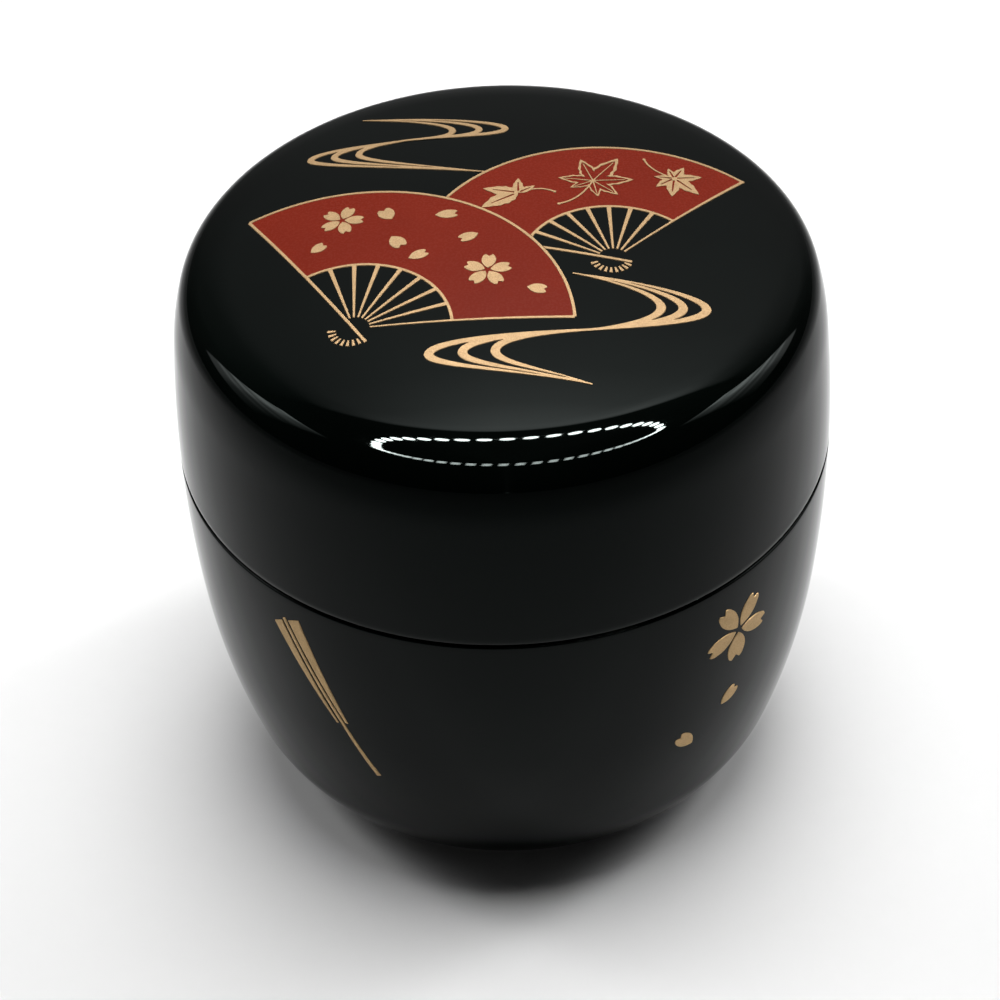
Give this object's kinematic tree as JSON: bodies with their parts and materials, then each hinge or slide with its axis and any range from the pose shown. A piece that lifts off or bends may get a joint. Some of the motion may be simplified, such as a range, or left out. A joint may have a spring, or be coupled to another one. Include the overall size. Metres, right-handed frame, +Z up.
{
  "type": "tea caddy",
  "caption": "Round lacquered tea caddy: tapering cup with a raised inner rim and a deep domed lid that lifts off, with gold and red fan pictures.",
  "frame": {"origin": "middle of the flat standing ring under the cup, on the surface it stands on", "axes": "+Z up along the axis of the cup and the direction the lid lifts; -Y is the front, where the folded fan is on the left and the blossom on the right; +X to the right seen from the front"},
  "size_m": [0.066, 0.066, 0.0641],
  "materials": {
    "black_lacquer": "turned wood under many coats of polished black lacquer, mirror gloss",
    "gold_lacquer": "fine gold powder sprinkled on lacquer, satin, very slightly raised",
    "red_lacquer": "dull red lacquer with a soft gloss, very slightly raised"
  },
  "bodies": {
    "cup_body": {"cup": "black_lacquer", "folded_fan_left": "gold_lacquer", "folded_fan_handle": "gold_lacquer", "folded_fan_right": "gold_lacquer", "cup_blossom": "gold_lacquer", "cup_petal": "gold_lacquer", "cup_heart_petal": "gold_lacquer"},
    "lid_body": {"lid": "black_lacquer", "front_fan_leaf": "red_lacquer", "front_fan_frame": "gold_lacquer", "front_fan_tail": "gold_lacquer", "front_blossom_left": "gold_lacquer", "front_blossom_right": "gold_lacquer", "front_petal_1": "gold_lacquer", "front_petal_2": "gold_lacquer", "front_petal_3": "gold_lacquer", "front_petal_4": "gold_lacquer", "front_petal_5": "gold_lacquer", "front_petal_6": "gold_lacquer", "front_petal_7": "gold_lacquer", "rear_fan_leaf": "red_lacquer", "rear_fan_frame": "gold_lacquer", "rear_fan_guard": "gold_lacquer", "rear_fan_tail": "gold_lacquer", "maple_left": "gold_lacquer", "maple_middle": "gold_lacquer", "maple_right": "gold_lacquer", "stream_upper": "gold_lacquer", "stream_lower": "gold_lacquer"}
  },
  "joints": [
    {"name": "lid_lift", "type": "slide", "parent": "cup_body", "child": "lid_body", "axis": [0, 0, 1], "range_m": [0, 0.06]}
  ]
}
